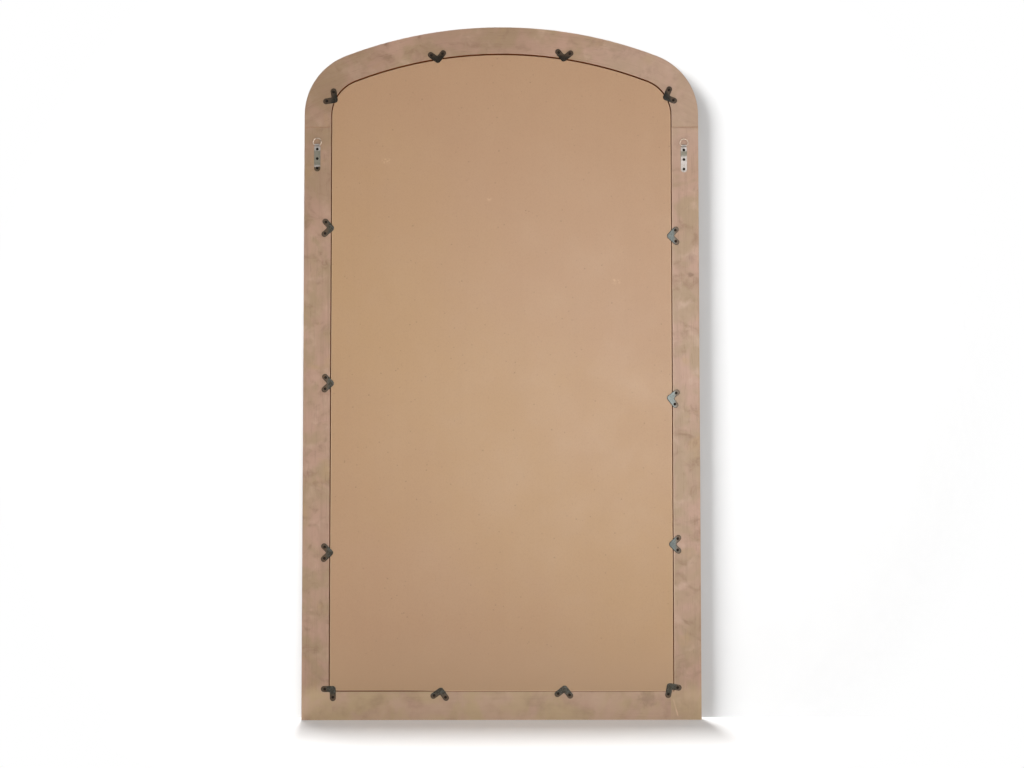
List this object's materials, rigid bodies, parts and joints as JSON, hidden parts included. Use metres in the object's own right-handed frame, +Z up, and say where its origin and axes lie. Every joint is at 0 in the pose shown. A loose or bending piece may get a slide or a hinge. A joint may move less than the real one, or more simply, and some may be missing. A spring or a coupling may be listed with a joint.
{
  "type": "floor mirror",
  "caption": "Tall arched floor mirror: wooden frame with silvered glass and a fibreboard back in its rebate, flat steel retaining clips and strap hangers with swinging rings.",
  "frame": {"origin": "centre of the underside on the floor, midway through the depth of the wooden frame", "axes": "+Z up, +Y out of the back (the pictured side), +X to the right as seen from the glass side"},
  "size_m": [1.016, 0.044, 1.7779],
  "materials": {
    "frame_wood": "grey-brown washed stain, matt",
    "dowel_wood": "bare beech",
    "silvered_glass": "polished, silvered at the back",
    "setting_rubber": "matt",
    "cushion_foam": "closed-cell foam",
    "backing_fibreboard": "raw fibreboard, matt",
    "clip_steel": "dark grey, satin",
    "screw_steel": "black, satin",
    "plated_steel": "dulled zinc plate"
  },
  "bodies": {
    "mirror": {"arched_head": "frame_wood", "right_stile": "frame_wood", "left_stile": "frame_wood", "bottom_rail": "frame_wood", "frame_dowels": "dowel_wood", "mirror_glass": "silvered_glass", "setting_blocks": "setting_rubber", "cushion_sheet": "cushion_foam", "backing_board": "backing_fibreboard", "clip_right_lower": "clip_steel", "clip_right_middle": "clip_steel", "clip_right_upper": "clip_steel", "clip_left_lower": "clip_steel", "clip_left_middle": "clip_steel", "clip_left_upper": "clip_steel", "clip_crown_right": "clip_steel", "clip_crown_left": "clip_steel", "clip_rail_right": "clip_steel", "clip_rail_left": "clip_steel", "clip_shoulder_right": "clip_steel", "clip_shoulder_left": "clip_steel", "clip_corner_right": "clip_steel", "clip_corner_left": "clip_steel", "clip_screws": "screw_steel", "right_hanger_strap": "plated_steel", "left_hanger_strap": "plated_steel", "hanger_screws": "screw_steel"},
    "left_ring": {"left_hanger_ring": "plated_steel"},
    "right_ring": {"right_hanger_ring": "plated_steel"}
  },
  "joints": [
    {"name": "left_ring_swing", "type": "hinge", "parent": "mirror", "child": "left_ring", "pos_m": [-0.4706, 0.022, 1.4678], "axis": [-1, 0, 0], "range_deg": [-4, 180]},
    {"name": "right_ring_swing", "type": "hinge", "parent": "mirror", "child": "right_ring", "pos_m": [0.4747, 0.022, 1.4703], "axis": [-1, 0, 0], "range_deg": [-4, 180]}
  ]
}
